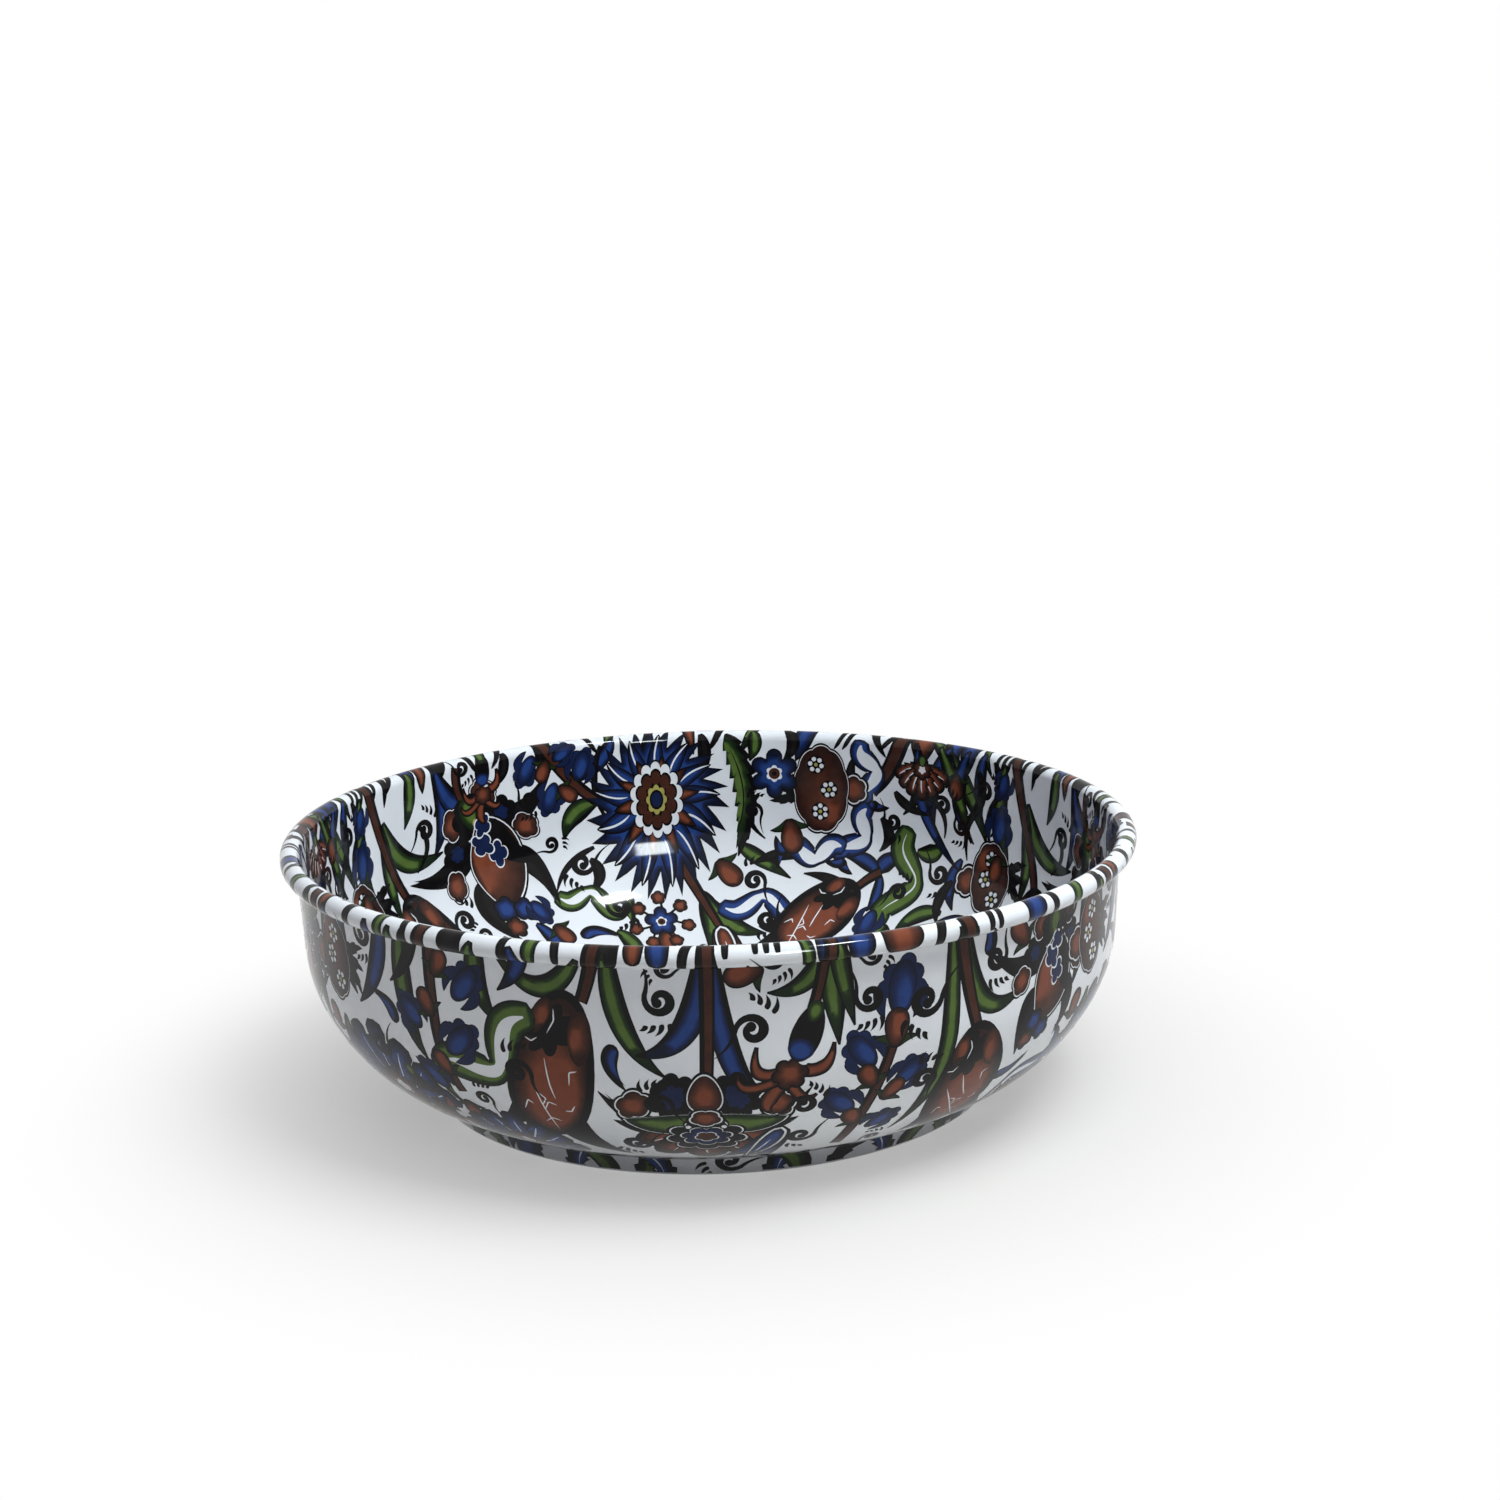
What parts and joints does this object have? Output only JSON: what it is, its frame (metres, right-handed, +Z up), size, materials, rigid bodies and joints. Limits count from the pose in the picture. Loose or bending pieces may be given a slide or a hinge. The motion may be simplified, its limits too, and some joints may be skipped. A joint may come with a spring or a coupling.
{
  "type": "serving bowl",
  "caption": "Wide round enamelled serving bowl with near-upright wall, rounded belly, stepped foot and rolled rim, printed all over with traditional flower ornament.",
  "frame": {"origin": "centre of the flat standing ring, on the table plane", "axes": "+Z up along the bowl's axis of revolution; the picture's front faces -Y"},
  "size_m": [0.26, 0.26, 0.0804],
  "materials": {
    "sheet_steel": "pickled sheet steel, hidden under the coats",
    "printed_enamel": "glossy white vitreous enamel with a fired print in cobalt blue, brown red, green and black",
    "plain_enamel": "glossy white vitreous enamel without print"
  },
  "bodies": {
    "root": {"steel_shell": "sheet_steel", "inner_enamel": "printed_enamel", "outer_enamel": "printed_enamel", "rim_enamel": "printed_enamel", "base_enamel": "plain_enamel"}
  },
  "joints": []
}
